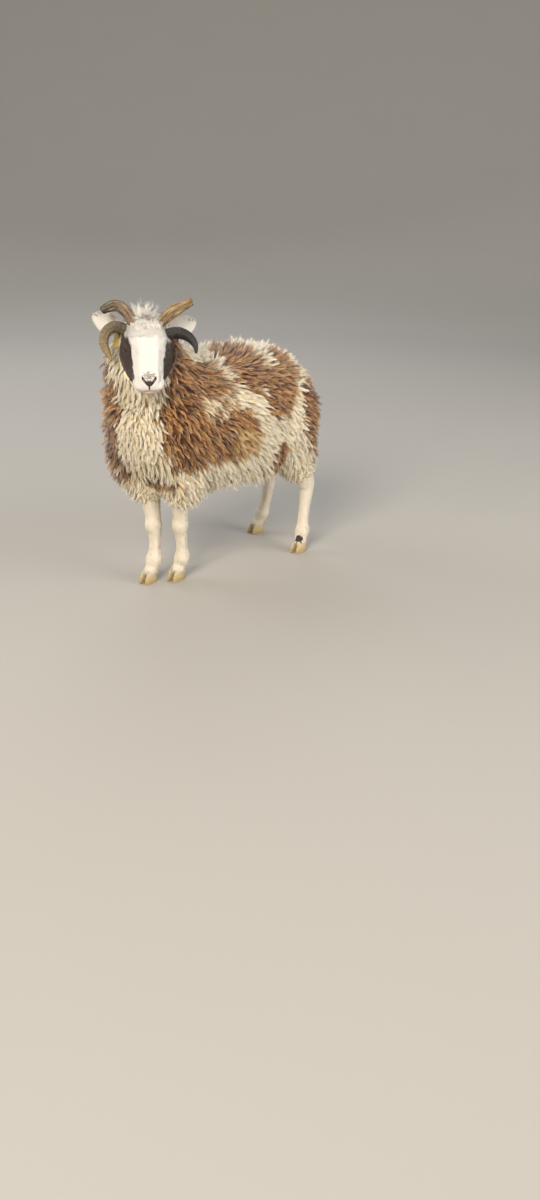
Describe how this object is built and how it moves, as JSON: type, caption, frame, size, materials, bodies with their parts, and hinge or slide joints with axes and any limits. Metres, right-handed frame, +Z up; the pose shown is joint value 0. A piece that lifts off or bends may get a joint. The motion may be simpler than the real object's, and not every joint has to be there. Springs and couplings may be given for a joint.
{
  "type": "jacob sheep",
  "caption": "Standing horned sheep in long curly piebald fleece, head turned to its left, with an upright and a curled horn on each side and a tag in the right ear.",
  "frame": {"origin": "on the floor, under the centre of the whole figure's box", "axes": "+Z up, -Y the way the body points (the breast is toward -Y and the tail toward +Y), +X the sheep's own left, to which the head is turned"},
  "size_m": [0.432, 0.9432, 0.9135],
  "materials": {
    "fleece": "curly cream fleece with warm brown patches",
    "fleece_brown": "warm brown fleece",
    "face_hair": "short white hair with near-black cheeks",
    "ear_hair": "short white hair, grey inside near the tip",
    "leg_hair": "short cream-white hair",
    "hoof": "pale ochre horn",
    "horn": "ridged tan to grey-brown horn",
    "horn_black": "ridged near-black horn",
    "eye": "wet brown eye",
    "tag": "blank pale yellow plastic"
  },
  "bodies": {
    "root": {"barrel": "fleece", "ear_left": "ear_hair", "ear_right": "ear_hair", "ear_tag": "tag", "eye_left": "eye", "eye_right": "eye", "head": "face_hair", "hoof_front_left_claw_left": "hoof", "hoof_front_left_claw_right": "hoof", "hoof_front_right_claw_left": "hoof", "hoof_front_right_claw_right": "hoof", "hoof_hind_left_claw_left": "hoof", "hoof_hind_left_claw_right": "hoof", "hoof_hind_right_claw_left": "hoof", "hoof_hind_right_claw_right": "hoof", "horn_side_left": "horn_black", "horn_side_right": "horn", "horn_upper_left": "horn", "horn_upper_right": "horn", "leg_front_left": "leg_hair", "leg_front_right": "leg_hair", "leg_hind_left": "leg_hair", "leg_hind_right": "leg_hair", "neck": "fleece", "rump": "fleece", "shoulders": "fleece", "tail": "fleece_brown", "thigh_left": "fleece", "thigh_right": "fleece"}
  },
  "joints": []
}
